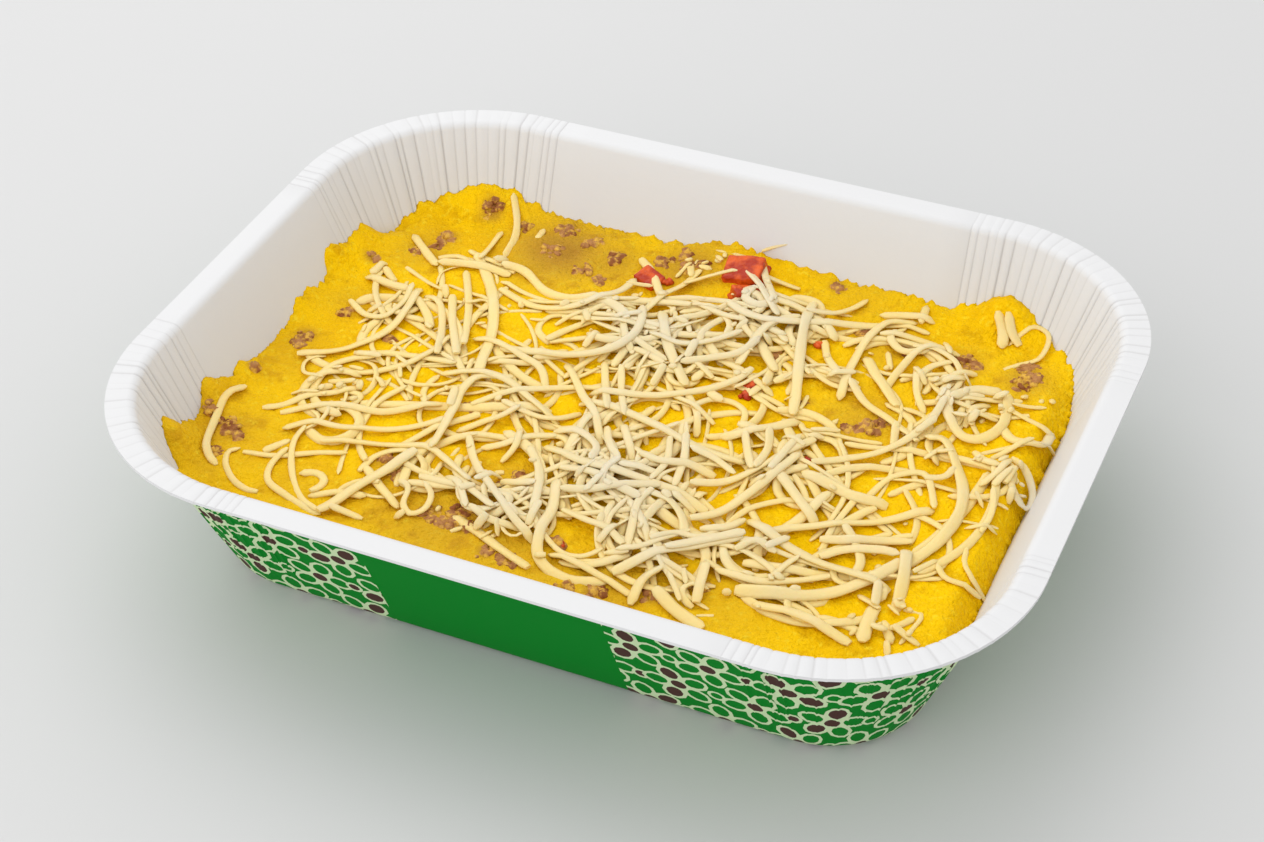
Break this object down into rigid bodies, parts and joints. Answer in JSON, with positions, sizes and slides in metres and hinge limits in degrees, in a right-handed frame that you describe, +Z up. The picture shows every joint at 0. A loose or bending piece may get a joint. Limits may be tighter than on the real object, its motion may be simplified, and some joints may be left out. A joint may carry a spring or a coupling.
{
  "type": "ready meal in a pressed paperboard tray",
  "caption": "Ready meal in a rectangular pressed board tray with pleated corners: yellow mash with minced meat, bits of tomato and a heap of grated cheese.",
  "frame": {"origin": "middle of the tray's underside, on the surface that it stands on", "axes": "+X along the tray's length, +Y across it away from the viewer's long side, +Z up"},
  "size_m": [0.19, 0.147, 0.0395],
  "materials": {
    "board": "white pressed paperboard, satin food side, with a green printed outside",
    "mash": "moist yellow vegetable mash with minced meat in it",
    "cheese": "grated cream-coloured cheese, slightly translucent",
    "tomato": "moist diced tomato"
  },
  "bodies": {
    "root": {"tray": "board", "mash": "mash", "cheese": "cheese", "tomato_large": "tomato", "tomato_small": "tomato", "tomato_bit": "tomato"}
  },
  "joints": []
}
